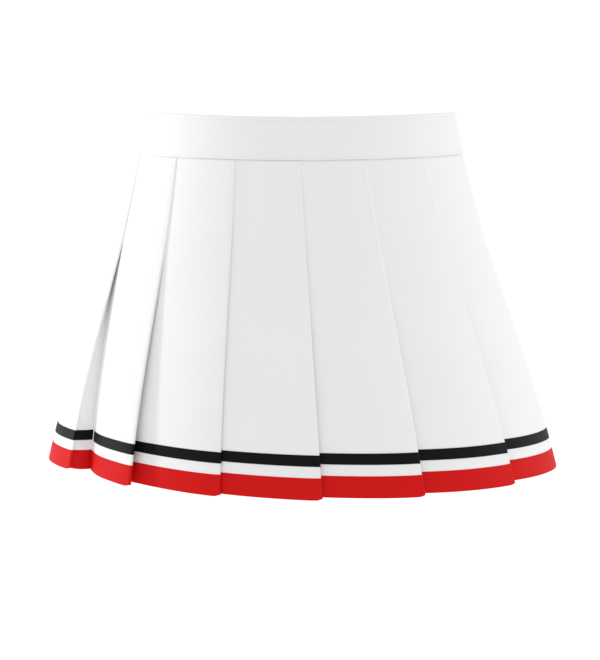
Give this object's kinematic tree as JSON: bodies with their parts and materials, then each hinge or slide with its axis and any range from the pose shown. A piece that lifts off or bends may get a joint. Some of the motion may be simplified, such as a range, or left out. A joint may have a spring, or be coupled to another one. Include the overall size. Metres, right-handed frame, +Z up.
{
  "type": "pleated cheer skirt",
  "caption": "Flared knife-pleated cheer skirt with a straight waistband, a black stripe, a red hem band and a centre-back zip.",
  "frame": {"origin": "middle of the waist, level with the top of the waistband at the hips", "axes": "+Z up, +X to the wearer's left, -Y the way the wearer faces"},
  "size_m": [0.4424, 0.3478, 0.3129],
  "materials": {
    "white_knit": "smooth, faintly sheened polyester knit",
    "black_braid": "flat knitted braid",
    "red_braid": "flat knitted braid",
    "elastic": "firm woven strip",
    "zip_tape": "woven tape",
    "zip_coil": "nylon coil",
    "slider_metal": "nickel plated",
    "hook_wire": "plated wire",
    "label": "satin ribbon, blank"
  },
  "bodies": {
    "skirt_top": {"blank_label": "label", "waist_eye": "hook_wire", "waist_hook": "hook_wire", "waistband_elastic": "elastic", "waistband_facing": "white_knit", "waistband_outer": "white_knit", "yoke_back_left": "white_knit", "yoke_back_right": "white_knit", "yoke_front": "white_knit", "zip_bottom_stop": "slider_metal", "zip_coil_left": "zip_coil", "zip_coil_right": "zip_coil", "zip_tape_left": "zip_tape", "zip_tape_right": "zip_tape", "zip_top_stop_left": "slider_metal", "zip_top_stop_right": "slider_metal"},
    "pleat_01": {"pleat_01": "white_knit", "black_braid_01": "black_braid", "red_hem_band_01": "red_braid"},
    "pleat_02": {"pleat_02": "white_knit", "black_braid_02": "black_braid", "red_hem_band_02": "red_braid"},
    "pleat_03": {"pleat_03": "white_knit", "black_braid_03": "black_braid", "red_hem_band_03": "red_braid"},
    "pleat_04": {"pleat_04": "white_knit", "black_braid_04": "black_braid", "red_hem_band_04": "red_braid"},
    "pleat_05": {"pleat_05": "white_knit", "black_braid_05": "black_braid", "red_hem_band_05": "red_braid"},
    "pleat_06": {"pleat_06": "white_knit", "black_braid_06": "black_braid", "red_hem_band_06": "red_braid"},
    "pleat_07": {"pleat_07": "white_knit", "black_braid_07": "black_braid", "red_hem_band_07": "red_braid"},
    "pleat_08": {"pleat_08": "white_knit", "black_braid_08": "black_braid", "red_hem_band_08": "red_braid"},
    "pleat_09": {"pleat_09": "white_knit", "black_braid_09": "black_braid", "red_hem_band_09": "red_braid"},
    "pleat_10": {"pleat_10": "white_knit", "black_braid_10": "black_braid", "red_hem_band_10": "red_braid"},
    "pleat_11": {"pleat_11": "white_knit", "black_braid_11": "black_braid", "red_hem_band_11": "red_braid"},
    "pleat_12": {"pleat_12": "white_knit", "black_braid_12": "black_braid", "red_hem_band_12": "red_braid"},
    "pleat_13": {"pleat_13": "white_knit", "black_braid_13": "black_braid", "red_hem_band_13": "red_braid"},
    "zip_slider": {"zip_slider": "slider_metal"},
    "zip_pull_tab": {"zip_pull_tab": "slider_metal"}
  },
  "joints": [
    {"name": "pleat_01_flare", "type": "hinge", "parent": "skirt_top", "child": "pleat_01", "pos_m": [-0.02651, -0.12321, -0.11264], "axis": [-0.9922, 0.1249, 0], "range_deg": [0, 20]},
    {"name": "pleat_02_flare", "type": "hinge", "parent": "skirt_top", "child": "pleat_02", "pos_m": [0.0362, -0.12176, -0.11258], "axis": [-0.9852, -0.1714, 0], "range_deg": [0, 20]},
    {"name": "pleat_03_flare", "type": "hinge", "parent": "skirt_top", "child": "pleat_03", "pos_m": [0.09687, -0.1005, -0.11175], "axis": [-0.8709, -0.4915, 0], "range_deg": [0, 20]},
    {"name": "pleat_04_flare", "type": "hinge", "parent": "skirt_top", "child": "pleat_04", "pos_m": [0.14642, -0.05511, -0.11052], "axis": [-0.5402, -0.8416, 0], "range_deg": [0, 20]},
    {"name": "pleat_05_flare", "type": "hinge", "parent": "skirt_top", "child": "pleat_05", "pos_m": [0.16212, 0.01397, -0.11003], "axis": [0.1453, -0.9894, 0], "range_deg": [0, 20]},
    {"name": "pleat_06_flare", "type": "hinge", "parent": "skirt_top", "child": "pleat_06", "pos_m": [0.12785, 0.0776, -0.11104], "axis": [0.7194, -0.6946, 0], "range_deg": [0, 20]},
    {"name": "pleat_07_flare", "type": "hinge", "parent": "skirt_top", "child": "pleat_07", "pos_m": [0.06608, 0.11418, -0.11227], "axis": [0.9471, -0.3208, 0], "range_deg": [0, 20]},
    {"name": "pleat_08_flare", "type": "hinge", "parent": "skirt_top", "child": "pleat_08", "pos_m": [-0.0047, 0.12482, -0.11271], "axis": [0.9998, 0.022, 0], "range_deg": [0, 20]},
    {"name": "pleat_09_flare", "type": "hinge", "parent": "skirt_top", "child": "pleat_09", "pos_m": [-0.07502, 0.1109, -0.11214], "axis": [0.9298, 0.3681, 0], "range_deg": [0, 20]},
    {"name": "pleat_10_flare", "type": "hinge", "parent": "skirt_top", "child": "pleat_10", "pos_m": [-0.13544, 0.06965, -0.11084], "axis": [0.6595, 0.7517, 0], "range_deg": [0, 20]},
    {"name": "pleat_11_flare", "type": "hinge", "parent": "skirt_top", "child": "pleat_11", "pos_m": [-0.16312, -0.00211, -0.11], "axis": [-0.0221, 0.9998, 0], "range_deg": [0, 20]},
    {"name": "pleat_12_flare", "type": "hinge", "parent": "skirt_top", "child": "pleat_12", "pos_m": [-0.13676, -0.06811, -0.1108], "axis": [-0.6475, 0.7621, 0], "range_deg": [0, 20]},
    {"name": "pleat_13_flare", "type": "hinge", "parent": "skirt_top", "child": "pleat_13", "pos_m": [-0.08657, -0.10586, -0.11195], "axis": [-0.9019, 0.4318, 0], "range_deg": [0, 20]},
    {"name": "zip_slide", "type": "slide", "parent": "skirt_top", "child": "zip_slider", "axis": [0, 0.2317, -0.9728], "range_m": [0, 0.078]},
    {"name": "pull_tab_swing", "type": "hinge", "parent": "zip_slider", "child": "zip_pull_tab", "pos_m": [0, 0.10194, -0.0179], "axis": [1, 0, 0], "range_deg": [0, 150]}
  ],
  "couplings": [
    {"joint": "pleat_02_flare", "follows": "pleat_01_flare", "ratio": 1},
    {"joint": "pleat_03_flare", "follows": "pleat_01_flare", "ratio": 1},
    {"joint": "pleat_04_flare", "follows": "pleat_01_flare", "ratio": 1},
    {"joint": "pleat_05_flare", "follows": "pleat_01_flare", "ratio": 1},
    {"joint": "pleat_06_flare", "follows": "pleat_01_flare", "ratio": 1},
    {"joint": "pleat_07_flare", "follows": "pleat_01_flare", "ratio": 1},
    {"joint": "pleat_08_flare", "follows": "pleat_01_flare", "ratio": 1},
    {"joint": "pleat_09_flare", "follows": "pleat_01_flare", "ratio": 1},
    {"joint": "pleat_10_flare", "follows": "pleat_01_flare", "ratio": 1},
    {"joint": "pleat_11_flare", "follows": "pleat_01_flare", "ratio": 1},
    {"joint": "pleat_12_flare", "follows": "pleat_01_flare", "ratio": 1},
    {"joint": "pleat_13_flare", "follows": "pleat_01_flare", "ratio": 1}
  ]
}
